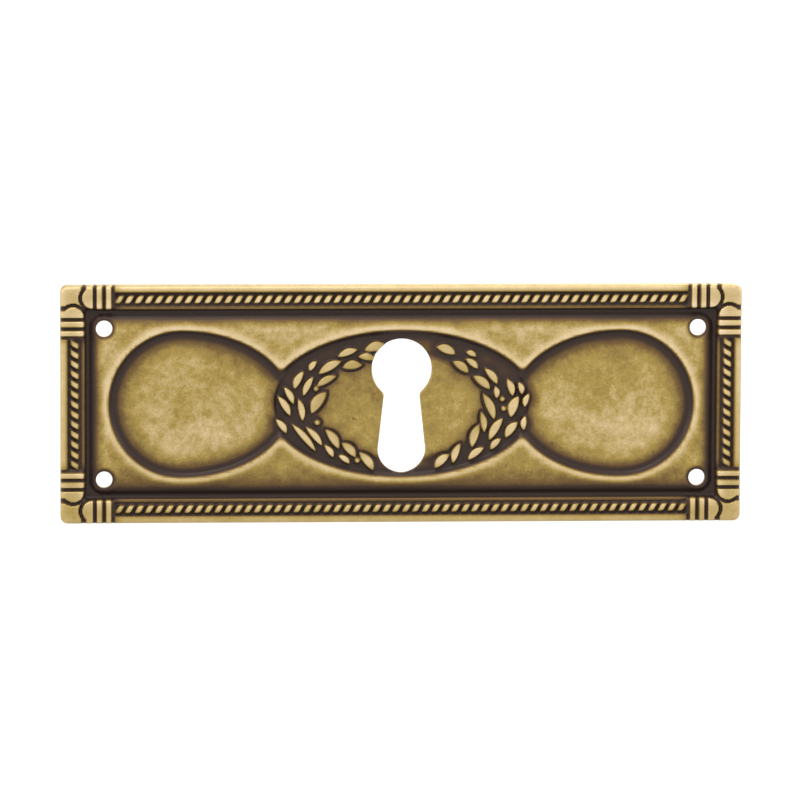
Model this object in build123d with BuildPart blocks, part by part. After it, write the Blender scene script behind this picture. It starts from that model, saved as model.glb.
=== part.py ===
from build123d import *
import math
import os

# Plate, in millimetres; X is its length, Z is up and the front faces -Y
LENGTH = 100.0
HEIGHT = 35.0
CORNER_RADIUS = 1.0
SHEET = 0.9
EDGE_BEVEL = 0.4

# Frame, measured inwards from the plate's edge; a rise is measured from the wall plane
FRAME_WIDTH = 3.7
FRAME_RISE = 2.3
FRAME_DRAFT = 20.0
OUTER_FILLET = 1.0
INNER_FILLET = 0.6
INNER_FILLET_RISE = 2.0

# Rope in the frame
ROPE_WIDTH = 1.4
ROPE_HEIGHT = 0.7
ROPE_CREST_WIDTH = 0.6
ROPE_SHOULDER = 0.15
ROPE_ROOT = 0.2
ROPE_PITCH = 1.463
ROPE_FLOOR_RISE = 1.5
ROPE_CUT_WIDTH = 0.9
ROPE_CUT_DEPTH = 0.5
ROPE_LEAN = 45.0

# Collars that bind the frame at each corner; each station is measured from the corner
COLLAR_LENGTH = 7.9
COLLAR_GROOVES = (5.0, 6.35, 7.7)
COLLAR_GROOVE_WIDTH = 0.5
COLLAR_GROOVE_DEPTH = 0.35
COLLAR_ARC_STATION = 4.75

# Raised field inside the gutter
GUTTER = 0.7
FIELD_CORNER_RADIUS = 2.0
FIELD_RISE = 2.0
FIELD_RUN = 1.6

# Panels sunk into the field: an egg-shaped one at each end, which is widest at a share of its length
# from its outer end, and the centre panel between them
END_MARGIN = 7.3
SIDE_MARGIN = 6.75
CENTRE_LENGTH = 39.2
PANEL_OVERLAP = 4.3
EGG_WIDEST = 0.4
PANEL_DEPTH = 0.7
PANEL_WALL_RUN = 0.7
DOME_RISE = 1.78
DOME_BORDER = 0.4

# Pin holes, each in a flat seat
PIN_SPACING_X = 87.2
PIN_SPACING_Z = 22.2
PIN_DIAMETER = 2.4
PIN_SEAT_DIAMETER = 3.2
PIN_SEAT_DRAFT = 30.0

# Keyhole
KEY_HEAD_DIAMETER = 8.8
KEY_HEAD_Z = 5.1
KEY_NECK_WIDTH = 4.4
KEY_FOOT_DIAMETER = 7.0
KEY_FOOT_Z = -6.7

# Wreath; the top and the shoulders of a leaf are shares of its length and width
LEAF_HEIGHT = 0.55
LEAF_ROOT = 0.15
LEAF_TOP_LENGTH = 0.8
LEAF_TOP_WIDTH = 0.5
LEAF_SHOULDER_LENGTH = 0.5
LEAF_SHOULDER_WIDTH = 0.75
BERRY_DIAMETER = 1.1
BERRY_SIDES = 8
BERRY_DRAFT = 30.0

# Leaves by hand, on a centre panel of the size given first: middle, turn from X, length and width
WREATH_DRAWN_FOR = (39.2, 21.5)
LEAVES = (
    # left, upper branch
    (-17.2, -0.3, -58, 3.5, 1.2),
    (-16.5, 1.2, -62, 3.0, 1.1),
    (-15.2, 3.5, 63, 3.1, 1.2),
    (-14.8, -0.9, -79, 3.5, 1.1),
    (-13.8, 2.6, 63, 3.3, 1.1),
    (-13.1, 5.6, 55, 1.9, 1.0),
    (-12.3, 0.2, 55, 4.0, 1.8),
    (-11.1, 3.4, 29, 3.4, 1.2),
    (-10.6, 5.4, 30, 4.0, 1.4),
    (-8, 7.5, 20, 3.2, 1.2),
    (-7.3, 5.6, 7, 3.1, 1.5),
    (-5.1, 6.8, -8, 2.9, 1.2),
    (-3.9, 8.3, 14, 3.5, 1.6),
    # left, lower branch
    (-17.6, -3.3, -54, 2.7, 1.1),
    (-14.3, -5, -49, 5.5, 1.1),
    (-12.8, -4.8, -49, 3.8, 1.1),
    (-10.1, -5.2, -56, 3.6, 1.4),
    (-10.6, -7, -55, 2.4, 1.0),
    (-7.7, -6.8, -45, 3.1, 1.4),
    (-8.4, -8.2, -36, 2.2, 1.0),
    (-5.1, -8.5, -52, 3.6, 1.4),
    # right, upper branch
    (6.5, 7.9, -22, 3.1, 1.5),
    (10.2, 7.3, -23, 1.8, 1.0),
    (8.7, 5.4, -36, 3.0, 1.4),
    (10.3, 5.9, -39, 2.5, 1.1),
    (11.8, 3.1, -38, 3.3, 1.4),
    (13.2, 4, -51, 3.1, 1.2),
    (13.9, 1.6, -85, 2.0, 1.0),
    (16, 2.3, -73, 2.8, 1.2),
    (17.5, 2.2, -76, 2.1, 1.0),
    (12.9, -0.5, -67, 4.4, 1.4),
    (16.5, -0.5, 70, 3.5, 1.6),
    (18.3, 0.4, 73, 2.2, 1.0),
    # right, lower branch
    (12, -2.8, -82, 3.3, 1.1),
    (13.8, -3.8, 59, 3.9, 1.4),
    (16.1, -3.9, 52, 3.1, 1.4),
    (18, -3, 85, 2.3, 1.0),
    (10.8, -4.8, 72, 3.8, 1.4),
    (13.8, -6, 47, 2.4, 1.1),
    (10.9, -7.4, 38, 3.1, 1.2),
    (8, -7.4, 70, 3.3, 1.2),
    (5.9, -8.5, 44, 3.1, 1.4),
)
BERRIES = (
    (-12.6, 2.2),
    (-12.4, -2.8),
    (-6.5, -8.4),
    (14.8, 0.6),
    (15.0, -0.8),
)

# Sizes that follow from the ones above
FRONT = Plane.XZ
CLEAR = 1.0
panel_half_height = HEIGHT / 2 - SIDE_MARGIN
centre_half_length = CENTRE_LENGTH / 2
egg_outer_end = LENGTH / 2 - END_MARGIN
egg_inner_end = centre_half_length - PANEL_OVERLAP
egg_outward = (egg_outer_end - egg_inner_end) * EGG_WIDEST
egg_centre = egg_outer_end - egg_outward
egg_inward = egg_centre - egg_inner_end
moat_rise = FIELD_RISE - PANEL_DEPTH
dome_reach = panel_half_height - PANEL_WALL_RUN - DOME_BORDER
dome_height = DOME_RISE - moat_rise
dome_radius = (dome_reach**2 + dome_height**2) / (2 * dome_height)
rope_channel = FRAME_WIDTH - OUTER_FILLET - INNER_FILLET
rope_inset = OUTER_FILLET + rope_channel / 2
long_run = LENGTH - 2 * COLLAR_LENGTH
short_run = HEIGHT - 2 * COLLAR_LENGTH
wall_fold = SHEET * math.tan(math.atan2(PANEL_DEPTH, PANEL_WALL_RUN) / 2)
slope_fold = SHEET * math.tan(math.atan2(FIELD_RISE - SHEET, FIELD_RUN) / 2)
pin_points = GridLocations(PIN_SPACING_X, PIN_SPACING_Z, 2, 2)


def panel(centre, left, right, grow, drop):
    """The hollow of one panel: two half ellipses that meet, with sloping walls over a domed floor."""
    flare = PANEL_WALL_RUN / PANEL_DEPTH * CLEAR
    levels = ((moat_rise, grow - PANEL_WALL_RUN), (FIELD_RISE + CLEAR, grow + flare))
    with BuildPart() as hollow:
        for rise, spread in levels:
            side = panel_half_height + spread
            with BuildSketch(FRONT.offset(rise - drop)):
                with BuildLine():
                    EllipticalCenterArc((centre, 0), right + spread, side, start_angle=-90, arc_size=180)
                    EllipticalCenterArc((centre, 0), left + spread, side, start_angle=90, arc_size=180)
                make_face()
        loft(ruled=True)
        with Locations((centre, dome_radius - DOME_RISE, 0)):
            Sphere(dome_radius - drop, mode=Mode.SUBTRACT)
    return hollow.part


def field(drop):
    """The raised field with its panels and pin seats, or its hollow back when dropped by the sheet."""
    shrink = slope_fold * drop / SHEET
    grow = wall_fold * drop / SHEET
    base_length = LENGTH - 2 * (FRAME_WIDTH + GUTTER + shrink)
    base_height = HEIGHT - 2 * (FRAME_WIDTH + GUTTER + shrink)
    with BuildPart() as cushion:
        with BuildSketch(FRONT.offset(SHEET - drop)):
            RectangleRounded(base_length, base_height, FIELD_CORNER_RADIUS)
        with BuildSketch(FRONT.offset(FIELD_RISE - drop)):
            RectangleRounded(
                base_length - 2 * FIELD_RUN, base_height - 2 * FIELD_RUN, FIELD_CORNER_RADIUS - FIELD_RUN
            )
        loft(ruled=True)
        add(panel(-egg_centre, egg_outward, egg_inward, grow, drop), mode=Mode.SUBTRACT)
        add(panel(egg_centre, egg_inward, egg_outward, grow, drop), mode=Mode.SUBTRACT)
        add(panel(0, centre_half_length, centre_half_length, grow, drop), mode=Mode.SUBTRACT)
        with BuildSketch(FRONT.offset(SHEET - drop)):
            with pin_points:
                Circle(PIN_SEAT_DIAMETER / 2 + grow)
        extrude(amount=FIELD_RISE, taper=-PIN_SEAT_DRAFT, mode=Mode.SUBTRACT)
    return cushion.part


def notch(width, depth, length):
    """A V-shaped cutter along Z, with its point towards the wall and its mouth at Y = 0."""
    mouth = width / 2 * (depth + CLEAR) / depth
    with BuildPart() as cutter:
        with BuildSketch(Plane.XY):
            Polygon((-mouth, -CLEAR), (mouth, -CLEAR), (0, depth), align=None)
        extrude(amount=length / 2, both=True)
    return cutter.part


def rope(length):
    """A length of rope along X: a bead with a worn crest and slanting cuts between its strands."""
    side = ROPE_WIDTH / 2
    crest = ROPE_CREST_WIDTH / 2
    strands = round(length / ROPE_PITCH)
    cut = notch(ROPE_CUT_WIDTH, ROPE_CUT_DEPTH, 2 * ROPE_WIDTH / math.cos(math.radians(ROPE_LEAN)))
    with BuildPart() as bead:
        with BuildSketch(Plane.YZ):
            Polygon(
                (ROPE_ROOT, -side),
                (-ROPE_SHOULDER, -side),
                (-ROPE_HEIGHT, -crest),
                (-ROPE_HEIGHT, crest),
                (-ROPE_SHOULDER, side),
                (ROPE_ROOT, side),
                align=None,
            )
        extrude(amount=length / 2, both=True)
        places = [
            Location((length * (i / strands - 0.5), -ROPE_HEIGHT, 0), (0, ROPE_LEAN, 0))
            for i in range(strands + 1)
        ]
        add([cut.moved(place) for place in places], mode=Mode.SUBTRACT)
    return bead.part


def leaf(length, width):
    """A leaf along X: a pointed, faceted blade with sloping flanks and a narrow worn top."""
    levels = ((0, 1, 1), (LEAF_HEIGHT + LEAF_ROOT, LEAF_TOP_LENGTH, LEAF_TOP_WIDTH))
    with BuildPart() as blade:
        for rise, length_share, width_share in levels:
            tip = length / 2 * length_share
            side = width / 2 * width_share
            along = tip * LEAF_SHOULDER_LENGTH
            across = side * LEAF_SHOULDER_WIDTH
            edge = [(tip, 0), (along, across), (0, side), (-along, across)]
            with BuildSketch(FRONT.offset(rise)):
                Polygon(*edge, *[(-x, -z) for x, z in edge], align=None)
        loft(ruled=True)
    return blade.part


def wreath_spot(x, z, rise):
    """A point of the wreath, which follows the size of the centre panel."""
    return (x * CENTRE_LENGTH / WREATH_DRAWN_FOR[0], -rise, z * 2 * panel_half_height / WREATH_DRAWN_FOR[1])


def at_corners(cutter, station):
    """Copies of a cutter at one distance from each corner, on the long and on the short side."""
    copies = []
    for x_side in (-1, 1):
        for z_side in (-1, 1):
            long_side = (x_side * (LENGTH / 2 - station), -FRAME_RISE, z_side * (HEIGHT - FRAME_WIDTH) / 2)
            short_side = (x_side * (LENGTH - FRAME_WIDTH) / 2, -FRAME_RISE, z_side * (HEIGHT / 2 - station))
            copies.append(cutter.moved(Location(long_side, (0, -90 * x_side, 0))))
            copies.append(cutter.moved(Location(short_side, (0, 90 + 90 * z_side, 0))))
    return copies


# The grooves of the corner collars: a straight one along X, and a round one that bows towards -Z
straight_groove = notch(COLLAR_GROOVE_WIDTH, COLLAR_GROOVE_DEPTH, FRAME_WIDTH + CLEAR).moved(
    Location((0, 0, 0), (0, 90, 0))
)
with BuildPart() as round_groove:
    mouth = COLLAR_GROOVE_WIDTH / 2 * (COLLAR_GROOVE_DEPTH + CLEAR) / COLLAR_GROOVE_DEPTH
    with BuildSketch(Plane.XY):
        with Locations((FRAME_WIDTH / 2, 0)):
            Polygon((-mouth, -CLEAR), (mouth, -CLEAR), (0, COLLAR_GROOVE_DEPTH), align=None)
    revolve(axis=Axis.Y, revolution_arc=180)

with BuildPart() as plate:
    # The blank with its bevelled front edge, and the well inside the frame
    with BuildSketch(FRONT):
        RectangleRounded(LENGTH, HEIGHT, CORNER_RADIUS)
    extrude(amount=FRAME_RISE)
    chamfer(plate.edges().group_by(Axis.Y)[0], EDGE_BEVEL)
    with BuildSketch(FRONT.offset(SHEET)):
        draft_run = (FRAME_RISE - SHEET) * math.tan(math.radians(FRAME_DRAFT))
        Rectangle(LENGTH - 2 * (FRAME_WIDTH + draft_run), HEIGHT - 2 * (FRAME_WIDTH + draft_run))
    extrude(amount=FRAME_RISE, taper=-FRAME_DRAFT, mode=Mode.SUBTRACT)

    # The rope's channel and the lower fillet inside it, between the collars
    with BuildSketch(FRONT.offset(ROPE_FLOOR_RISE)):
        with Locations((0, HEIGHT / 2 - rope_inset), (0, rope_inset - HEIGHT / 2)):
            Rectangle(long_run, rope_channel)
        with Locations((LENGTH / 2 - rope_inset, 0), (rope_inset - LENGTH / 2, 0)):
            Rectangle(rope_channel, short_run)
    extrude(amount=FRAME_RISE, mode=Mode.SUBTRACT)
    fillet_inset = FRAME_WIDTH - INNER_FILLET
    with BuildSketch(FRONT.offset(INNER_FILLET_RISE)):
        Rectangle(long_run, HEIGHT - 2 * fillet_inset)
        Rectangle(LENGTH - 2 * fillet_inset, short_run)
    extrude(amount=FRAME_RISE, mode=Mode.SUBTRACT)

    # The grooves of the collars
    cutters = at_corners(round_groove.part, COLLAR_ARC_STATION)
    for station in COLLAR_GROOVES:
        cutters += at_corners(straight_groove, station)
    add(cutters, mode=Mode.SUBTRACT)

    # The rope on the four sides
    long_rope = rope(long_run)
    short_rope = rope(short_run)
    for side in (-1, 1):
        add(long_rope.moved(Location((0, -ROPE_FLOOR_RISE, side * (HEIGHT / 2 - rope_inset)))))
        add(short_rope.moved(Location((side * (LENGTH / 2 - rope_inset), -ROPE_FLOOR_RISE, 0), (0, 90, 0))))

    # The raised field, and the hollow behind it and behind the frame
    add(field(0))
    add(field(SHEET), mode=Mode.SUBTRACT)
    with BuildSketch(FRONT):
        Rectangle(LENGTH - 2 * SHEET, HEIGHT - 2 * SHEET)
        Rectangle(LENGTH - 2 * FRAME_WIDTH, HEIGHT - 2 * FRAME_WIDTH, mode=Mode.SUBTRACT)
    extrude(amount=ROPE_FLOOR_RISE - SHEET, mode=Mode.SUBTRACT)

    # The wreath on the floor of the centre panel
    add([
        leaf(length, width).moved(Location(wreath_spot(x, z, moat_rise - LEAF_ROOT), (0, -turn, 0)))
        for x, z, turn, length, width in LEAVES
    ])
    with BuildSketch(FRONT.offset(moat_rise - LEAF_ROOT)):
        with Locations([wreath_spot(x, z, 0)[::2] for x, z in BERRIES]):
            RegularPolygon(BERRY_DIAMETER / 2, BERRY_SIDES)
    extrude(amount=LEAF_HEIGHT + LEAF_ROOT, taper=BERRY_DRAFT)

    # The keyhole and the pin holes
    with BuildSketch(FRONT):
        with Locations((0, KEY_HEAD_Z)):
            Circle(KEY_HEAD_DIAMETER / 2)
        with Locations((0, KEY_FOOT_Z)):
            Circle(KEY_FOOT_DIAMETER / 2)
        Polygon(
            (-KEY_NECK_WIDTH / 2, KEY_HEAD_Z),
            (KEY_NECK_WIDTH / 2, KEY_HEAD_Z),
            (KEY_FOOT_DIAMETER / 2, KEY_FOOT_Z),
            (-KEY_FOOT_DIAMETER / 2, KEY_FOOT_Z),
            align=None,
        )
        with pin_points:
            Circle(PIN_DIAMETER / 2)
    extrude(amount=FRAME_RISE + CLEAR, mode=Mode.SUBTRACT)

plate.part.label = "escutcheon_plate"
os.makedirs("parts", exist_ok=True)
export_step(plate.part, "parts/escutcheon_plate.step")
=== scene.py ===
import math

import bpy
import numpy as np
from mathutils import Matrix, Vector


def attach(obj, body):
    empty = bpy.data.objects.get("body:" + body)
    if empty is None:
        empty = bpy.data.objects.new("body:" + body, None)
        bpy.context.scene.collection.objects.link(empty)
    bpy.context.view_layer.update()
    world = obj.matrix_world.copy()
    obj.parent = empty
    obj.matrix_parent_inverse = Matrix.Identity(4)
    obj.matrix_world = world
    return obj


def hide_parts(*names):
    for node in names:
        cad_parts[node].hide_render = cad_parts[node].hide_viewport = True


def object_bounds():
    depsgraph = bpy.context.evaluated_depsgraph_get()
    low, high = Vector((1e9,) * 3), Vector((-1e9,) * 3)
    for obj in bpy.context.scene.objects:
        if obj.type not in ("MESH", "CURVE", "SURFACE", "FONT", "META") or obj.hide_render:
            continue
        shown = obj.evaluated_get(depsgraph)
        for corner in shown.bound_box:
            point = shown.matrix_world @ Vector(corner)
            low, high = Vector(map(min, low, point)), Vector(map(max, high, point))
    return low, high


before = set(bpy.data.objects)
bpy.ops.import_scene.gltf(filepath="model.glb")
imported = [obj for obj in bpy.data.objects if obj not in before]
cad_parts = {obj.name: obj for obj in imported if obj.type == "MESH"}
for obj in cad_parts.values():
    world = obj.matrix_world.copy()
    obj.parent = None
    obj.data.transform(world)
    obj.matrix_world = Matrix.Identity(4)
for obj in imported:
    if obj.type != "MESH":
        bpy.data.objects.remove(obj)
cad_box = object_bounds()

# Sizes of the piece are in millimetres, as in the solid; the mesh is scaled to metres when it is made
MM = 0.001

# Plate
LENGTH = 100.0
HEIGHT = 35.0
CORNER_RADIUS = 1.0
SHEET = 0.9

# Frame, measured inwards from the plate's edge; a rise is measured from the wall plane
GROOVE_RISE = 1.5
OUTER_RISE = 2.15
OUTER_CREST = 0.6
OUTER_HALF_WIDTH = 0.68
INNER_CREST = 3.3
INNER_RISE = 1.7
INNER_HALF_WIDTH = 0.33
GUTTER_START = 3.75

# Channel behind the frame: where it starts and ends inwards of the edge, its depth, the run of its sides
CHANNEL_BAND = (0.9, 3.7)
CHANNEL_DEPTH = 0.6
CHANNEL_RUN = 0.5

# Rope in the frame; a strand fills a share of the pitch, and leans so far along for each step across
ROPE_INSET = 2.05
ROPE_HALF_WIDTH = 0.7
ROPE_HEIGHT = 0.65
ROPE_PITCH = 1.463
ROPE_FILL = 0.8
ROPE_LEAN = 0.55

# Collars that bind the frame at each corner; each station is measured from the corner
COLLAR_LENGTH = 7.9
COLLAR_RISE = 2.3
COLLAR_GROOVES = (5.0, 6.35, 7.7)
COLLAR_GROOVE_HALF_WIDTH = 0.26
COLLAR_GROOVE_DEPTH = 0.5
COLLAR_ARC_STATION = 4.75
COLLAR_ARC_RADIUS = 1.85
COLLAR_SHOULDER = 3.1

# Raised field and the panels sunk into it
FIELD_INSET = 4.2
FIELD_CORNER_RADIUS = 2.0
FIELD_RISE = 1.8
FIELD_RUN = 1.6
RIM_RISE = 0.15
RIM_CREST = 0.4
RIM_RUN = 1.8
END_MARGIN = 7.1
SIDE_MARGIN = 6.75
CENTRE_LENGTH = 39.2
PANEL_OVERLAP = 3.3
EGG_WIDEST = 0.4
PANEL_LIP = 0.15
PANEL_DEPTH = 0.7
PANEL_WALL_RUN = 0.65
PANEL_SOFTNESS = 0.12
CUSP_SOFTNESS = 1.1
DOME_HEIGHT = 0.53
DOME_RUN = 8.0
MOAT_HALF_LENGTH = 18.4
MOAT_EDGE = 0.6
JUNCTION_RISE = 1.0
JUNCTION_HALF_HEIGHT = (3.0, 5.0)
MEDALLION_Z = -0.5
MEDALLION_HALF_LENGTH = 13.0
MEDALLION_HALF_HEIGHT = 8.0
MEDALLION_RISE = 1.7
MEDALLION_FALL = 0.12
MEDALLION_EDGE = 0.8

# Pin holes, each in a dimple, and the keyhole
PIN_SPACING_X = 87.2
PIN_SPACING_Z = 22.2
PIN_DIAMETER = 2.4
PIN_SEAT_RISE = 1.4
PIN_SEAT_DIAMETER = 2.6
PIN_SEAT_SLOPE = 1.0
PIN_SEAT_SOFTNESS = 0.3
KEY_HEAD_DIAMETER = 8.8
KEY_HEAD_Z = 5.1
KEY_NECK_WIDTH = 4.4
KEY_FOOT_DIAMETER = 7.0
KEY_FOOT_Z = -6.7
KEY_NECK_SOFTNESS = 0.5

# Radius of each rounded edge, the turns in degrees where its rings lie, and the bevel at the back
PLATE_EDGE = 0.6
KEYHOLE_EDGE = 0.3
PIN_EDGE = 0.2
BACK_LIP = 0.12
EDGE_TURNS = (22.5, 45.0, 67.5, 90.0)

# Wreath
LEAF_HEIGHT = 0.57
LEAF_TIP_SHARE = 0.8
LEAF_FLANK = 0.4
LEAF_GROWTH = (1.03, 1.06)
LEAF_BEND = 0.35
LEAF_FULLNESS = 0.8
OUTLINE_WIDTH = 0.45
BERRY_DIAMETER = 1.1
# A leaf's middle, its turn from the X axis in degrees, its length and its width
LEAVES = (
    # left, upper branch
    (-17.2, -0.3, -58, 3.5, 1.2),
    (-16.5, 1.2, -62, 3.0, 1.1),
    (-15.2, 3.5, 63, 3.1, 1.2),
    (-14.8, -0.9, -79, 3.5, 1.1),
    (-13.8, 2.6, 63, 3.3, 1.1),
    (-13.1, 5.6, 55, 1.9, 1.0),
    (-12.3, 0.2, 55, 4.0, 1.8),
    (-11.1, 3.4, 29, 3.4, 1.2),
    (-10.6, 5.4, 30, 4.0, 1.4),
    (-8, 7.5, 20, 3.2, 1.2),
    (-7.3, 5.6, 7, 3.1, 1.5),
    (-5.1, 6.8, -8, 2.9, 1.2),
    (-3.9, 8.3, 14, 3.5, 1.6),
    # left, lower branch
    (-17.6, -3.3, -54, 2.7, 1.1),
    (-14.3, -5, -49, 5.5, 1.1),
    (-12.8, -4.8, -49, 3.8, 1.1),
    (-10.1, -5.2, -56, 3.6, 1.4),
    (-10.6, -7, -55, 2.4, 1.0),
    (-7.7, -6.8, -45, 3.1, 1.4),
    (-8.4, -8.2, -36, 2.2, 1.0),
    (-5.1, -8.5, -52, 3.6, 1.4),
    # right, upper branch
    (6.5, 7.9, -22, 3.1, 1.5),
    (10.2, 7.3, -23, 1.8, 1.0),
    (8.7, 5.4, -36, 3.0, 1.4),
    (10.3, 5.9, -39, 2.5, 1.1),
    (11.8, 3.1, -38, 3.3, 1.4),
    (13.2, 4, -51, 3.1, 1.2),
    (13.9, 1.6, -85, 2.0, 1.0),
    (16, 2.3, -73, 2.8, 1.2),
    (17.5, 2.2, -76, 2.1, 1.0),
    (12.9, -0.5, -67, 4.4, 1.4),
    (16.5, -0.5, 70, 3.5, 1.6),
    (18.3, 0.4, 73, 2.2, 1.0),
    # right, lower branch
    (12, -2.8, -82, 3.3, 1.1),
    (13.8, -3.8, 59, 3.9, 1.4),
    (16.1, -3.9, 52, 3.1, 1.4),
    (18, -3, 85, 2.3, 1.0),
    (10.8, -4.8, 72, 3.8, 1.4),
    (13.8, -6, 47, 2.4, 1.1),
    (10.9, -7.4, 38, 3.1, 1.2),
    (8, -7.4, 70, 3.3, 1.2),
    (5.9, -8.5, 44, 3.1, 1.4),
)
# A berry's middle
BERRIES = (
    (-12.6, 2.2),
    (-12.4, -2.8),
    (-6.5, -8.4),
    (14.8, 0.6),
    (15.0, -0.8),
)

# Mesh: a cell is left whole, or divided into 2 x 2 or 4 x 4 where the relief is finer
CELLS = (140, 48)
FINE_STEPS = 4
FINE_FRAME = 4.7
FINE_WALL = (-1.0, 0.3)
FINE_EDGE = 0.65
COARSE_CENTRE = (9.0, 4.5)
MIDDLING_FRAME = 7.2
MIDDLING_WALL = (-3.0, 1.0)
SLIDE_ROUNDS = 4
PROBE = 1e-4
TINY = 1e-9

# Patina: black in the hollows that a polishing wheel can't reach, rubbed to bright metal on the crests;
# the wear at a place, with painted light and shade added to it, picks its colour from PATINA_RAMP
MAP_STEP = 0.1
MAP_MARGIN = 5.0
WHEEL_RADII = (2.0, 5.0, 14.0)
WHEEL_REACH = 5.5
UNREACHED = 0.6
CREST_SPREAD = 1.0
CREST_WEIGHT = 0.34
OUTSIDE_RISE = 1.8
# Wear of what the wheel reaches, the frame's share of it, and its fade down the border of the field
FLAT_WEAR = 0.55
FRAME_SHARE = 0.98
FADE_LEAD = 0.95
FADE_RUN = 3.2
# Painted shade, as from a light above: the lower end of the field is darker, though not its rims; the band
# is measured downwards from the plate's middle
PAINTED_LOWER_SHADE = 0.33
PAINTED_LOWER_BAND = (8.3, 12.3)
# More wear on the rim round the panels, and less on their walls and on the medallion
RIM_WEAR = 0.055
RIM_BAND = (0.6, 1.2)
WALL_BAND = (-0.1, 0.4)
WALL_SHADE = 0.7
MEDALLION_WEAR = -0.06
MEDALLION_FADE = (0.9, 1.1)
# Painted light and shade: change of wear for each millimetre upwards. Outside the panels the plate grows
# lighter upwards, a painted light from above; in the panels it grows darker upwards, a painted shade under
# their upper walls
PAINTED_LIGHT_TILT = 0.002
PAINTED_PANEL_SHADE_TILT = -0.005
# Wear of the edges and of the back, which is darker in its hollow
EDGE_WEAR = 0.6
BACK_WEAR = 0.42
BACK_SHADE = 0.12

# Colours of the finish in sRGB, each with the wear at which it is reached
PATINA_RAMP = (
    (0.0, (54, 39, 32)),
    (0.17, (72, 51, 36)),
    (0.36, (121, 95, 53)),
    (0.52, (171, 147, 80)),
    (0.68, (218, 195, 151)),
    (0.84, (240, 222, 210)),
)
# Scale and weight of each unevenness: stains, blotches and grain; rubbed places are evener
UNEVENNESS = ((170, 0.35), (800, 0.38), (3200, 0.2))
NOISE_DETAIL = 4
NOISE_ROUGHNESS = 0.6
RUBBED_EVENNESS = 0.65
DARK_UNEVENNESS = 0.1
# Pits that keep their patina: scale, the noise at which one starts and is full, and its depth
PIT_SCALE = 1100
PIT_NOISE = (0.68, 0.78)
PIT_DEPTH = -0.25
# Roughness and metallic of the dark patina and of the bare metal, and the wear at which each is reached
PATINA_ROUGHNESS = (0.5, 0.55)
PATINA_METALLIC = (0.4, 1.0)
PATINA_WEAR = (0.1, 0.55)
# Lacquer, the gloss of the dark patina under it, and the relief of the unevenness in metres
LACQUER = 0.1
LACQUER_ROUGHNESS = 0.3
GLOSS = 0.4
BUMP_STRENGTH = 0.25
BUMP_DISTANCE = 0.00005

# Studio, in metres and watts: a white room, a pale floor that keeps a soft shadow, and soft lamps
FLOOR_SIZE = 8.0
FLOOR_GLOW = 0.92
FLOOR_TONE = 0.16
AMBIENT = 0.86
LAMPS = (
    # name, place, size and power
    ("key", (-0.12, -0.28, 0.42), 0.28, 0.9),
    ("top", (0.0, -0.07, 0.50), 0.28, 0.2),
    ("left", (-0.48, -0.12, 0.17), 0.20, 0.5),
    ("right", (0.48, -0.12, 0.17), 0.20, 0.5),
    ("back", (0.25, 0.40, 0.35), 0.30, 2.0),
)

# Camera, in metres and degrees, with its lens in millimetres
LENS = 300.0
CAMERA_DISTANCE = 0.978
CAMERA_AZIMUTH = -4.0
CAMERA_ELEVATION = 6.5
CAMERA_ROLL = 0.25
CAMERA_TARGET = (-0.00023, -0.00115, 0.00047)
CAMERA_CLIP_END = 20.0

# Sizes that follow from the ones above
panel_half_height = HEIGHT / 2 - SIDE_MARGIN
centre_half_length = CENTRE_LENGTH / 2
egg_outer_end = LENGTH / 2 - END_MARGIN
egg_inner_end = centre_half_length - PANEL_OVERLAP
egg_outward = (egg_outer_end - egg_inner_end) * EGG_WIDEST
egg_centre = egg_outer_end - egg_outward
egg_inward = egg_centre - egg_inner_end
rim_height = FIELD_RISE + RIM_RISE
moat_rise = rim_height - PANEL_DEPTH
PANELS = (
    # middle, and its reach to the left and to the right
    (-egg_centre, egg_outward, egg_inward),
    (egg_centre, egg_inward, egg_outward),
    (0, centre_half_length, centre_half_length),
)
lattice_corner = np.array((PLATE_EDGE - LENGTH / 2, PLATE_EDGE - HEIGHT / 2))
lattice_step = -2 * lattice_corner / (np.array(CELLS) * FINE_STEPS)


def ramp(value, start, end):
    """A smooth rise from 0 at start to 1 at end."""
    share = np.clip((value - start) / (end - start), 0, 1)
    return share * share * (3 - 2 * share)


def ridge(offset, half_width):
    """A round ridge: 1 on its crest, 0 from half_width on."""
    return np.sqrt(np.clip(1 - (offset / half_width) ** 2, 0, 1))


def soft_max(a, b, softness):
    """The greater of two heights, with a fillet where they meet."""
    share = np.clip(0.5 + 0.5 * (a - b) / softness, 0, 1)
    return b + (a - b) * share + softness * share * (1 - share)


def soft_min(a, b, softness):
    """The lesser of two heights, with a rounded edge where they meet."""
    return -soft_max(-a, -b, softness)


def rounded_box(x, z, half_length, half_height, radius):
    """Distance outside a rectangle with rounded corners; it is negative inside."""
    over_x = np.abs(x) - half_length + radius
    over_z = np.abs(z) - half_height + radius
    outside = np.hypot(np.maximum(over_x, 0), np.maximum(over_z, 0))
    return outside + np.minimum(np.maximum(over_x, over_z), 0) - radius


def plate_room(x, z):
    """Distance into the metal from the plate's outline."""
    return -rounded_box(x, z, LENGTH / 2, HEIGHT / 2, CORNER_RADIUS)


def keyhole_room(x, z):
    """Distance into the metal from the keyhole."""
    head = np.hypot(x, z - KEY_HEAD_Z) - KEY_HEAD_DIAMETER / 2
    foot = np.hypot(x, z - KEY_FOOT_Z) - KEY_FOOT_DIAMETER / 2
    share = (KEY_HEAD_Z - z) / (KEY_HEAD_Z - KEY_FOOT_Z)
    half_width = KEY_NECK_WIDTH / 2 + share * (KEY_FOOT_DIAMETER - KEY_NECK_WIDTH) / 2
    neck = np.maximum(np.abs(x) - half_width, np.maximum(z - KEY_HEAD_Z, KEY_FOOT_Z - z))
    return np.minimum(soft_min(head, neck, KEY_NECK_SOFTNESS), foot)


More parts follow.
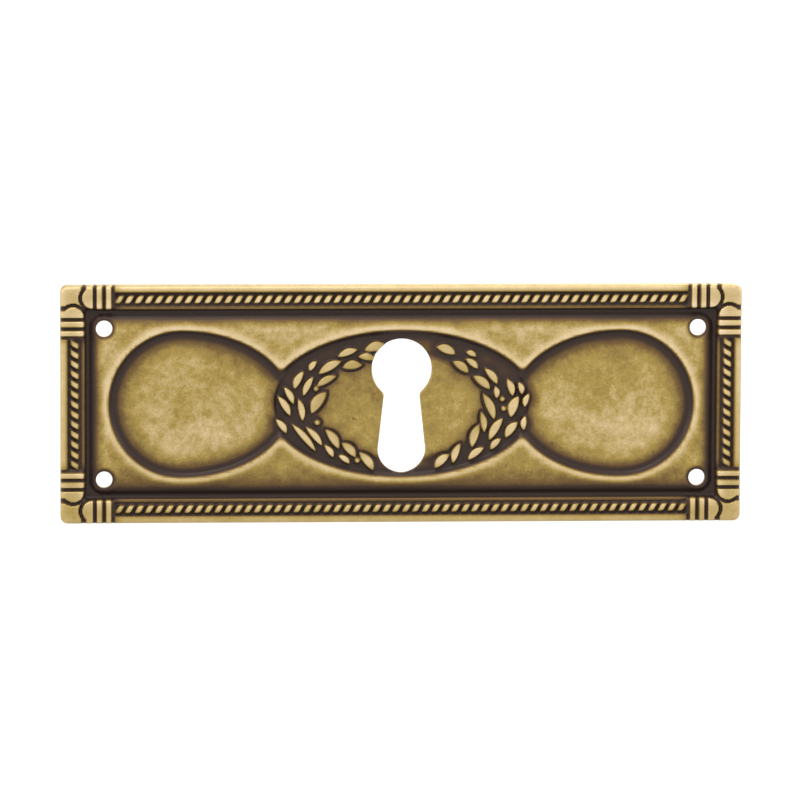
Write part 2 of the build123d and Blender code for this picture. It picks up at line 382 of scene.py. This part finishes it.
def pin_distance(x, z):
    """Distance from the middle of the nearest pin hole."""
    return np.hypot(np.abs(x) - PIN_SPACING_X / 2, np.abs(z) - PIN_SPACING_Z / 2)


def pin_room(x, z):
    """Distance into the metal from the nearest pin hole."""
    return pin_distance(x, z) - PIN_DIAMETER / 2


EDGES = ((plate_room, PLATE_EDGE), (keyhole_room, KEYHOLE_EDGE), (pin_room, PIN_EDGE))


def rope_height(along, slant, run):
    """Height of the rope above its groove; slant is the place across it, with the sign of its lean."""
    strands = round(run / ROPE_PITCH)
    phase = (along - ROPE_LEAN * slant) * strands / run + strands / 2
    from_strand = (2 * (phase % 1) - 1) / ROPE_FILL
    return ROPE_HEIGHT * ridge(np.hypot((slant / ROPE_HALF_WIDTH) ** 2, from_strand**2), 1)


def frame_height(x, z):
    """The frame: an outer moulding, the rope in its groove and an inner fillet, bound at the corners."""
    from_end = LENGTH / 2 - np.abs(x)
    from_side = HEIGHT / 2 - np.abs(z)
    inset = np.minimum(from_end, from_side)
    station = np.maximum(from_end, from_side)
    long_rope = rope_height(x, z - np.sign(z) * (HEIGHT / 2 - ROPE_INSET), LENGTH - 2 * COLLAR_LENGTH)
    short_rope = rope_height(z, np.sign(x) * (LENGTH / 2 - ROPE_INSET) - x, HEIGHT - 2 * COLLAR_LENGTH)
    rope = np.where(from_side < from_end, long_rope, short_rope)
    outer = (OUTER_RISE - GROOVE_RISE) * ridge(np.maximum(inset - OUTER_CREST, 0), OUTER_HALF_WIDTH)
    inner = (INNER_RISE - GROOVE_RISE) * ridge(inset - INNER_CREST, INNER_HALF_WIDTH)
    mouldings = GROOVE_RISE + np.maximum(np.maximum(outer, inner), rope)
    wall = SHEET + (INNER_RISE - SHEET) * ridge(inset - INNER_CREST, GUTTER_START - INNER_CREST)
    mouldings = np.where(inset > INNER_CREST, wall, mouldings)

    collar = SHEET + (COLLAR_RISE - SHEET) * ridge(
        np.maximum(inset - COLLAR_SHOULDER, 0), GUTTER_START - COLLAR_SHOULDER
    )
    arc = np.hypot(station - COLLAR_ARC_STATION, inset - COLLAR_ARC_RADIUS) - COLLAR_ARC_RADIUS
    groove = np.where(station < COLLAR_ARC_STATION, ridge(arc, COLLAR_GROOVE_HALF_WIDTH), 0)
    for groove_station in COLLAR_GROOVES:
        groove = np.maximum(groove, ridge(station - groove_station, COLLAR_GROOVE_HALF_WIDTH))
    collar = np.where(inset < GUTTER_START, np.maximum(collar - COLLAR_GROOVE_DEPTH * groove, SHEET), SHEET)
    return np.where(station < COLLAR_LENGTH, collar, mouldings)


def outside_panel(x, z, centre, left, right):
    """Distance outside the outline of a panel, two half ellipses that meet; it is negative inside."""
    x = x - centre
    half_length = np.where(x < 0, left, right)
    reach = np.hypot(x / half_length, z / panel_half_height) + TINY
    steepness = np.hypot(x / half_length**2, z / panel_half_height**2) + TINY / half_length
    return (reach - 1) * reach / steepness


def outside_panels(x, z):
    """Distance outside the nearest panel; it is negative inside."""
    left, right, centre = [outside_panel(x, z, *panel) for panel in PANELS]
    return soft_min(np.minimum(left, right), centre, CUSP_SOFTNESS)


def from_medallion(x, z):
    """0 in the middle of the medallion, 1 on its outline."""
    return np.hypot(x / MEDALLION_HALF_LENGTH, (z - MEDALLION_Z) / MEDALLION_HALF_HEIGHT)


def centre_floor(x, z):
    """The floor of the centre panel: a medallion, the moat round it, and a step up to each end panel."""
    reach = from_medallion(x, z)
    past_edge = (reach - 1) * MEDALLION_HALF_HEIGHT
    medallion = MEDALLION_RISE - MEDALLION_FALL * reach**2
    medallion = medallion - (MEDALLION_RISE - moat_rise) * ramp(past_edge, -MEDALLION_EDGE, MEDALLION_EDGE)
    moat_end = MOAT_HALF_LENGTH * ridge(z, panel_half_height)
    step = ramp(np.abs(x) - moat_end, 0, MOAT_EDGE) * ramp(np.abs(z), *reversed(JUNCTION_HALF_HEIGHT))
    return soft_max(medallion, moat_rise, PANEL_SOFTNESS / 2) + JUNCTION_RISE * step


def panel_height(x, z, centre, left, right):
    """A sunk panel; outside its rim it climbs on above the field."""
    outside = outside_panel(x, z, centre, left, right)
    wall = rim_height + (outside - PANEL_LIP) * PANEL_DEPTH / PANEL_WALL_RUN
    if centre == 0:
        floor = centre_floor(x, z)
    else:
        inward = np.clip((-outside - PANEL_WALL_RUN) / DOME_RUN, 0, 1)
        floor = moat_rise + DOME_HEIGHT * inward * (2 - inward)
    return soft_max(wall, floor, PANEL_SOFTNESS)


def inside_field(x, z):
    """Distance inside the foot of the raised field."""
    return -rounded_box(x, z, LENGTH / 2 - FIELD_INSET, HEIGHT / 2 - FIELD_INSET, FIELD_CORNER_RADIUS)


def field_height(x, z):
    """The raised field with a rim round its three panels, and the dimples that seat the pins."""
    climb = np.clip(inside_field(x, z) / FIELD_RUN, 0, 1)
    height = SHEET + (FIELD_RISE - SHEET) * np.sin(climb * math.pi / 2)
    height = height + RIM_RISE * ramp(outside_panels(x, z) - RIM_CREST, RIM_RUN, 0)
    left, right, centre = [panel_height(x, z, *panel) for panel in PANELS]
    panels = soft_min(np.minimum(left, right), centre, CUSP_SOFTNESS)
    height = soft_min(height, panels, PANEL_SOFTNESS)
    seat = PIN_SEAT_RISE + np.maximum(pin_distance(x, z) - PIN_SEAT_DIAMETER / 2, 0) * PIN_SEAT_SLOPE
    return np.maximum(soft_min(height, seat, PIN_SEAT_SOFTNESS), SHEET)


def wreath(x, z):
    """Height of the leaves and berries above the moat, and the distance outside the nearest of them."""
    relief = np.zeros_like(x)
    distance = np.full_like(x, LENGTH)
    for leaf_x, leaf_z, turn, length, width in LEAVES:
        angle = math.radians(turn)
        half_length = LEAF_GROWTH[0] * length / 2
        half_width = LEAF_GROWTH[1] * width / 2
        along = ((x - leaf_x) * math.cos(angle) + (z - leaf_z) * math.sin(angle)) / half_length
        across = ((z - leaf_z) * math.cos(angle) - (x - leaf_x) * math.sin(angle)) / half_width
        bow = LEAF_BEND * (0.5 - np.minimum(along**2, 1))
        across = across - bow
        breadth = np.clip(1 - along**2, 0, 1) ** LEAF_FULLNESS
        crest = LEAF_TIP_SHARE + (1 - LEAF_TIP_SHARE) * breadth
        blade = crest * ridge(1 - np.clip((breadth - np.abs(across)) / LEAF_FLANK, 0, 1), 1)
        relief = np.maximum(relief, LEAF_HEIGHT * blade)
        beside = np.maximum(np.abs(across) - breadth, 0) * half_width
        beyond = np.maximum(np.abs(along) - 1, 0) * half_length
        distance = np.minimum(distance, np.hypot(beside, beyond))
    for berry_x, berry_z in BERRIES:
        from_berry = np.hypot(x - berry_x, z - berry_z)
        relief = np.maximum(relief, BERRY_DIAMETER / 2 * ridge(from_berry, BERRY_DIAMETER / 2))
        distance = np.minimum(distance, np.maximum(from_berry - BERRY_DIAMETER / 2, 0))
    return relief, distance


def front_height(x, z):
    """Height of the front above the wall plane."""
    height = np.maximum(frame_height(x, z), field_height(x, z))
    relief, distance = wreath(x, z)
    groove = ramp(distance, OUTLINE_WIDTH, 0) * ramp(outside_panels(x, z), 0, -PANEL_WALL_RUN)
    height = height - np.maximum(height - moat_rise, 0) * groove
    return np.where(relief > 0, np.maximum(height, moat_rise + relief), height)


def back_height(x, z):
    """Height of the hollow back above the wall plane: the main forms, less the thickness of the sheet."""
    inset = np.minimum(LENGTH / 2 - np.abs(x), HEIGHT / 2 - np.abs(z))
    start, end = CHANNEL_BAND
    channel = ramp(inset, start, start + CHANNEL_RUN) * ramp(inset, end, end - CHANNEL_RUN)
    return np.maximum(field_height(x, z) - SHEET, CHANNEL_DEPTH * channel)


def on_lattice(keys):
    """Places of lattice keys, which count fine steps from the lower left corner."""
    return lattice_corner + np.asarray(keys) * lattice_step


def cell_levels(wanted):
    """How often each cell is halved; neighbours differ by one level at most."""
    middle = (np.indices(CELLS).transpose(1, 2, 0) + 0.5) * FINE_STEPS
    levels = wanted(*on_lattice(middle).transpose(2, 0, 1))
    padded = np.pad(levels, 1, mode="edge")
    windows = np.lib.stride_tricks.sliding_window_view(padded, (3, 3))
    return np.maximum(levels, windows.max(axis=(2, 3)) - 1)


def is_near_edge(x, z):
    """Whether a place is near the plate's outline or a hole."""
    return np.min([np.abs(room(x, z)) - radius for room, radius in EDGES], axis=0) < FINE_EDGE


def front_levels(x, z):
    """Fine cells on the frame, on the wreath and round the holes, and middling ones on the other slopes."""
    inset = np.minimum(LENGTH / 2 - np.abs(x), HEIGHT / 2 - np.abs(z))
    outside = outside_panels(x, z)
    in_centre = outside_panel(x, z, *PANELS[-1]) < 0
    wreath_band = in_centre & (np.hypot(x / COARSE_CENTRE[0], z / COARSE_CENTRE[1]) > 1)
    wall = (outside > FINE_WALL[0]) & (outside < FINE_WALL[1])
    fine = (inset < FINE_FRAME) | wreath_band | wall | is_near_edge(x, z)
    near_wall = (outside > MIDDLING_WALL[0]) & (outside < MIDDLING_WALL[1])
    middling = (inset < MIDDLING_FRAME) | near_wall | in_centre
    return np.where(fine, 2, np.where(middling, 1, 0))


def back_levels(x, z):
    """Fine cells along the edges, which meet those of the front, and whole ones elsewhere."""
    return np.where(is_near_edge(x, z), 2, 0)


def lattice_faces(levels):
    """Faces as rings of lattice keys; a cell has an extra corner in a side whose neighbour is finer."""
    halves = np.indices(np.array(CELLS) * 2 * FINE_STEPS + 1).transpose(1, 2, 0) / 2
    x, z = on_lattice(halves).transpose(2, 0, 1)
    metal = np.all([room(x, z) > radius for room, radius in EDGES], axis=0)
    padded = np.pad(levels, 1, mode="edge")
    faces = []
    for i, j in np.ndindex(*CELLS):
        level = levels[i, j]
        step = FINE_STEPS >> level
        below, right, above, left = padded[(i + 1, i + 2, i + 1, i), (j, j + 1, j + 2, j + 1)] > level
        first_a, last_a = i * FINE_STEPS, (i + 1) * FINE_STEPS
        first_b, last_b = j * FINE_STEPS, (j + 1) * FINE_STEPS
        for a in range(first_a, last_a, step):
            for b in range(first_b, last_b, step):
                if not metal[2 * a + step, 2 * b + step]:
                    continue
                middle_a, middle_b = a + step // 2, b + step // 2
                face = [(a, b)]
                if below and b == first_b:
                    face.append((middle_a, b))
                face.append((a + step, b))
                if right and a + step == last_a:
                    face.append((a + step, middle_b))
                face.append((a + step, b + step))
                if above and b + step == last_b:
                    face.append((middle_a, b + step))
                face.append((a, b + step))
                if left and a == first_a:
                    face.append((a, middle_b))
                faces.append(face)
    return faces


def boundary_loops(faces):
    """Rings of keys along the edges that have a face on one side only."""
    edges = {pair for face in faces for pair in zip(face, face[1:] + face[:1])}
    follow = {start: end for start, end in edges if (end, start) not in edges}
    loops = []
    while follow:
        loop = [min(follow)]
        while follow[loop[-1]] != loop[0]:
            loop.append(follow.pop(loop[-1]))
        del follow[loop[-1]]
        loops.append(loop)
    return loops


def slide(points, room, target):
    """Moves points straight to or from an edge until they are at the target distance."""
    for _ in range(SLIDE_ROUNDS):
        x, z = points.T
        here = room(x, z)
        uphill = np.stack([room(x + PROBE, z) - here, room(x, z + PROBE) - here], axis=1)
        uphill /= np.linalg.norm(uphill, axis=1, keepdims=True)
        points = points + uphill * (target - here)[:, None]
    return points


def blurred(grid, spread):
    """A grid of heights smoothed by a Gaussian of that spread."""
    across = np.fft.fftfreq(grid.shape[0], MAP_STEP)[:, None]
    up = np.fft.rfftfreq(grid.shape[1], MAP_STEP)[None, :]
    kept = np.exp(-2 * (np.pi * spread) ** 2 * (across**2 + up**2))
    return np.fft.irfft2(np.fft.rfft2(grid) * kept, grid.shape)


def rolled(height, radius, pick, lift):
    """The highest or lowest of the parabolas that stand on each point of a grid of heights."""
    reach = round(WHEEL_REACH / MAP_STEP)
    for axis in (0, 1):
        shifted = height
        for step in range(-reach, reach + 1):
            sag = lift * (step * MAP_STEP) ** 2 / (2 * radius)
            shifted = pick(shifted, np.roll(height, step, axis) + sag)
        height = shifted
    return height


def patina_and_painted_light_maps():
    """How far each place is worn, least in deep hollows and most on crests, with painted light and shade
    added, and where it is rubbed even.
    """
    x = np.arange(-LENGTH / 2 - MAP_MARGIN, LENGTH / 2 + MAP_MARGIN, MAP_STEP)
    z = np.arange(-HEIGHT / 2 - MAP_MARGIN, HEIGHT / 2 + MAP_MARGIN, MAP_STEP)
    grid_x, grid_z = np.meshgrid(x, z, indexing="ij")
    metal = np.all([room(grid_x, grid_z) > 0 for room, _ in EDGES], axis=0)
    height = np.where(metal, front_height(grid_x, grid_z), 0)
    reached = 0
    for radius in WHEEL_RADII:
        wheel = rolled(rolled(height, radius, np.maximum, -1), radius, np.minimum, 1)
        reached = reached + (1 - np.sqrt(np.clip((wheel - height) / UNREACHED, 0, 1))) / len(WHEEL_RADII)
    height = np.where(metal, height, OUTSIDE_RISE)
    crest = height - blurred(height, CREST_SPREAD)
    inset = np.minimum(LENGTH / 2 - np.abs(grid_x), HEIGHT / 2 - np.abs(grid_z))
    outside = outside_panels(grid_x, grid_z)
    rim = ramp(outside, -PANEL_SOFTNESS, 0) * ramp(outside, *reversed(RIM_BAND))
    up_slope = np.clip((inside_field(grid_x, grid_z) + FADE_LEAD) / FADE_RUN, 0, 1)
    # Painted shade: the lower end of the field is darkened, except on the rims round the panels
    up_slope = up_slope * (1 - PAINTED_LOWER_SHADE * ramp(-grid_z, *PAINTED_LOWER_BAND) * (1 - rim))
    fade = np.where(inset < GUTTER_START, FRAME_SHARE, up_slope)
    medallion = ramp(from_medallion(grid_x, grid_z), *reversed(MEDALLION_FADE))
    # Painted light and shade: the frame and field are made lighter upwards and the panels darker upwards
    painted_tilt = np.where(outside > 0, PAINTED_LIGHT_TILT, PAINTED_PANEL_SHADE_TILT) * grid_z
    wear_and_painted_tilt = RIM_WEAR * rim + MEDALLION_WEAR * medallion + painted_tilt
    leaf = wreath(grid_x, grid_z)[0] > 0
    wall = ramp(outside, *reversed(WALL_BAND)) * ramp(outside, -2 * PANEL_WALL_RUN, -PANEL_WALL_RUN)
    shade = 1 - WALL_SHADE * np.where(leaf, 0, wall)
    worn_and_painted_light = (FLAT_WEAR * fade + wear_and_painted_tilt) * reached * shade + CREST_WEIGHT * crest
    rubbed = np.maximum(rim, (inset < GUTTER_START) | leaf)
    return worn_and_painted_light, rubbed


def sample(grid, points):
    """Values of a map at points, blended from the four nearest."""
    place = (points + np.array((LENGTH, HEIGHT)) / 2 + MAP_MARGIN) / MAP_STEP
    i, j = np.floor(place).astype(int).T
    u, v = (place - np.floor(place)).T
    lower = grid[i, j] * (1 - u) + grid[i + 1, j] * u
    upper = grid[i, j + 1] * (1 - u) + grid[i + 1, j + 1] * u
    return lower * (1 - v) + upper * v


def make_plate():
    """The pressed plate as one closed mesh, with its patina and painted light and shade stored on the
    vertices.
    """
    front_faces = lattice_faces(cell_levels(front_levels))
    back_faces = lattice_faces(cell_levels(back_levels))
    front_index = {key: i for i, key in enumerate(sorted({key for face in front_faces for key in face}))}
    back_index = {key: i for i, key in enumerate(sorted({key for face in back_faces for key in face}))}
    front_points = on_lattice(list(front_index))
    back_points = on_lattice(list(back_index))

    # The rims of both lattices are drawn to where the rounded edges start
    edges = []
    for loop in boundary_loops(front_faces):
        first = front_points[front_index[loop[0]]]
        room, radius = min(EDGES, key=lambda edge: edge[0](*first) - edge[1])
        ring = [front_index[key] for key in loop]
        front_points[ring] = slide(front_points[ring], room, radius)
        back_points[[back_index[key] for key in loop]] = front_points[ring]
        edges.append((loop, room, radius))

    # Front and back
    points = [front_points, back_points]
    heights = [front_height(*front_points.T), back_height(*back_points.T)]
    worn_and_painted_light_map, rubbed_map = patina_and_painted_light_maps()
    # The front's wear holds painted light and shade as well as the wear itself
    wear_and_painted_light = [sample(worn_and_painted_light_map, front_points), BACK_WEAR - BACK_SHADE * heights[1]]
    rubbed = [sample(rubbed_map, front_points), np.zeros(len(back_points))]
    shift = len(front_points)
    total = shift + len(back_points)
    faces = [[front_index[key] for key in face] for face in front_faces]
    faces += [[shift + back_index[key] for key in reversed(face)] for face in back_faces]

    # Rings of each rounded edge, from the front to the back
    for loop, room, radius in edges:
        start = np.array([front_index[key] for key in loop])
        end = np.array([back_index[key] for key in loop])
        rings = [start]
        profile = [
            (radius * (1 - math.sin(turn)), heights[0][start] - radius * (1 - math.cos(turn)))
            for turn in np.radians(EDGE_TURNS)
        ]
        profile.append((0, heights[1][end] + BACK_LIP))
        profile.append((BACK_LIP, heights[1][end]))
        for (distance, height), share in zip(profile, np.linspace(0, 1, len(profile))):
            points.append(slide(front_points[start], room, distance))
            heights.append(height)
            wear_and_painted_light.append(wear_and_painted_light[0][start] * (1 - share) + EDGE_WEAR * share)
            rubbed.append(rubbed[0][start])
            rings.append(np.arange(total, total + len(loop)))
            total += len(loop)
        rings.append(shift + end)
        for upper, lower in zip(rings, rings[1:]):
            quads = np.stack([np.roll(upper, -1), upper, lower, np.roll(lower, -1)], axis=1)
            faces += quads.tolist()

    points = np.concatenate(points)
    heights = np.concatenate(heights)
    mesh = bpy.data.meshes.new("escutcheon")
    mesh.from_pydata(np.stack([points[:, 0], -heights, points[:, 1]], axis=1) * MM, [], faces)
    for name, values in (("wear_and_painted_light", wear_and_painted_light), ("rubbed", rubbed)):
        attribute = mesh.attributes.new(name, "FLOAT", "POINT")
        attribute.data.foreach_set("value", np.concatenate(values).astype(np.float32))
    mesh.shade_smooth()
    plate = bpy.data.objects.new("escutcheon", mesh)
    bpy.context.scene.collection.objects.link(plate)
    return plate


def linear(red, green, blue):
    """A colour given as 0 to 255 in sRGB, as the linear values that shaders take."""
    share = np.array((red, green, blue)) / 255
    return (*np.where(share > 0.04045, ((share + 0.055) / 1.055) ** 2.4, share / 12.92), 1.0)


def antique_brass():
    """Brass with a dark patina in its hollows, blotched and rubbed bright on its crests, and with the
    painted light and shade that its wear attribute carries.
    """
    material = bpy.data.materials.new("antique_brass")
    material.use_nodes = True
    nodes, links = material.node_tree.nodes, material.node_tree.links
    shader = nodes["Principled BSDF"]

    def add(kind, inputs=(), **settings):
        """A new node; each input is a value, or the socket that it is linked to."""
        made = nodes.new(kind)
        for name, value in settings.items():
            setattr(made, name, value)
        for socket, value in dict(inputs).items():
            if isinstance(value, bpy.types.NodeSocket):
                links.new(value, made.inputs[socket])
            else:
                made.inputs[socket].default_value = value
        return made

    def math_node(operation, *inputs):
        """Result of a sum or product."""
        return add("ShaderNodeMath", enumerate(inputs), operation=operation).outputs[0]

    def between(value, start, end, limits):
        """From the first limit at start to the second at end."""
        sockets = {"Value": value, "From Min": start, "From Max": end}
        sockets |= {"To Min": limits[0], "To Max": limits[1]}
        return add("ShaderNodeMapRange", sockets).outputs["Result"]

    def noise(scale):
        """Noise of that scale over the plate, with a mean of about 0.5."""
        sockets = {"Vector": place, "Scale": scale, "Detail": NOISE_DETAIL, "Roughness": NOISE_ROUGHNESS}
        return add("ShaderNodeTexNoise", sockets).outputs["Fac"]

    place = add("ShaderNodeTexCoord").outputs["Object"]
    # This attribute holds painted light and shade as well as the wear
    wear_and_painted_light = add("ShaderNodeAttribute", attribute_name="wear_and_painted_light").outputs["Fac"]
    rubbed = add("ShaderNodeAttribute", attribute_name="rubbed").outputs["Fac"]
    uneven = -sum(weight for _, weight in UNEVENNESS) / 2
    for scale, weight in UNEVENNESS:
        uneven = math_node("MULTIPLY_ADD", noise(scale), weight, uneven)
    unrubbed = math_node("MULTIPLY_ADD", rubbed, -RUBBED_EVENNESS, 1)
    uneven = math_node("MULTIPLY", uneven, unrubbed)
    pits = math_node("MULTIPLY", between(noise(PIT_SCALE), *PIT_NOISE, (0, PIT_DEPTH)), unrubbed)
    worn_and_painted_light = math_node("MULTIPLY_ADD", math_node("ADD", wear_and_painted_light, DARK_UNEVENNESS), uneven, wear_and_painted_light)
    worn_and_painted_light = math_node("ADD", worn_and_painted_light, pits)
    ramp_node = add("ShaderNodeValToRGB", {"Fac": worn_and_painted_light})
    stops = ramp_node.color_ramp.elements
    for _ in PATINA_RAMP[2:]:
        stops.new(0.5)
    for stop, (position, colour) in zip(stops, PATINA_RAMP):
        stop.position = position
        stop.color = linear(*colour)
    links.new(ramp_node.outputs["Color"], shader.inputs["Base Color"])
    links.new(between(worn_and_painted_light, *PATINA_WEAR, PATINA_ROUGHNESS), shader.inputs["Roughness"])
    links.new(between(worn_and_painted_light, *PATINA_WEAR, PATINA_METALLIC), shader.inputs["Metallic"])
    bump = add("ShaderNodeBump", {"Strength": BUMP_STRENGTH, "Distance": BUMP_DISTANCE, "Height": worn_and_painted_light})
    links.new(bump.outputs["Normal"], shader.inputs["Normal"])
    shader.inputs["Specular IOR Level"].default_value = GLOSS
    shader.inputs["Coat Weight"].default_value = LACQUER
    shader.inputs["Coat Roughness"].default_value = LACQUER_ROUGHNESS
    return material


plate = make_plate()
plate.data.materials.append(antique_brass())
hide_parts("escutcheon_plate")
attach(plate, "root")


def seen_rays(tree):
    """1 for rays that show the background: those of the camera, of gloss and of transmission."""
    path = tree.nodes.new("ShaderNodeLightPath")
    total = path.outputs["Is Camera Ray"]
    for name in ("Is Glossy Ray", "Is Transmission Ray"):
        either = tree.nodes.new("ShaderNodeMath")
        either.operation = "MAXIMUM"
        tree.links.new(total, either.inputs[0])
        tree.links.new(path.outputs[name], either.inputs[1])
        total = either.outputs[0]
    return total


def make_world():
    """White to the eye and in reflections, and a plain soft light on what stands in it."""
    world = bpy.data.worlds.new("studio")
    world.use_nodes = True
    tree = world.node_tree
    ambient = tree.nodes["Background"]
    ambient.inputs["Color"].default_value = (1, 1, 1, 1)
    ambient.inputs["Strength"].default_value = AMBIENT
    white = tree.nodes.new("ShaderNodeBackground")
    white.inputs["Color"].default_value = (1, 1, 1, 1)
    mix = tree.nodes.new("ShaderNodeMixShader")
    tree.links.new(seen_rays(tree), mix.inputs["Fac"])
    tree.links.new(ambient.outputs["Background"], mix.inputs[1])
    tree.links.new(white.outputs["Background"], mix.inputs[2])
    tree.links.new(mix.outputs["Shader"], tree.nodes["World Output"].inputs["Surface"])
    bpy.context.scene.world = world


def make_floor():
    """A large pale floor under the plate's lower edge."""
    mesh = bpy.data.meshes.new("floor")
    half = FLOOR_SIZE / 2
    level = cad_box[0].z
    mesh.from_pydata(
        [(-half, -half, level), (half, -half, level), (half, half, level), (-half, half, level)],
        [],
        [(0, 1, 2, 3)],
    )
    floor = bpy.data.objects.new("floor", mesh)
    bpy.context.scene.collection.objects.link(floor)
    material = bpy.data.materials.new("pale_floor")
    material.use_nodes = True
    tree = material.node_tree
    shader = tree.nodes["Principled BSDF"]
    shader.inputs["Base Color"].default_value = (FLOOR_TONE,) * 3 + (1,)
    shader.inputs["Roughness"].default_value = 1.0
    shader.inputs["Specular IOR Level"].default_value = 0.0
    shader.inputs["Emission Color"].default_value = (1, 1, 1, 1)
    glow = tree.nodes.new("ShaderNodeMath")
    glow.operation = "MULTIPLY"
    glow.inputs[1].default_value = FLOOR_GLOW
    tree.links.new(seen_rays(tree), glow.inputs[0])
    tree.links.new(glow.outputs[0], shader.inputs["Emission Strength"])
    mesh.materials.append(material)


def make_lamps():
    """Square area lamps that face the plate."""
    for name, place, size, power in LAMPS:
        light = bpy.data.lights.new(name, "AREA")
        light.size = size
        light.energy = power
        lamp = bpy.data.objects.new(name, light)
        lamp.location = place
        lamp.rotation_mode = "QUATERNION"
        lamp.rotation_quaternion = (-Vector(place)).to_track_quat("-Z", "Y")
        bpy.context.scene.collection.objects.link(lamp)


def make_camera():
    """A long lens in front of the plate, a little to the left and above."""
    data = bpy.data.cameras.new("camera")
    data.lens = LENS
    data.clip_end = CAMERA_CLIP_END
    camera = bpy.data.objects.new("camera", data)
    azimuth, elevation = math.radians(CAMERA_AZIMUTH), math.radians(CAMERA_ELEVATION)
    outward = Vector((
        math.sin(azimuth) * math.cos(elevation),
        -math.cos(azimuth) * math.cos(elevation),
        math.sin(elevation),
    ))
    turn = (-outward).to_track_quat("-Z", "Y").to_matrix().to_4x4()
    place = Matrix.Translation(Vector(CAMERA_TARGET) + outward * CAMERA_DISTANCE)
    camera.matrix_world = place @ turn @ Matrix.Rotation(math.radians(CAMERA_ROLL), 4, "Z")
    bpy.context.scene.collection.objects.link(camera)
    bpy.context.scene.camera = camera


make_world()
make_floor()
make_lamps()
make_camera()
bpy.context.scene.view_settings.view_transform = "Standard"
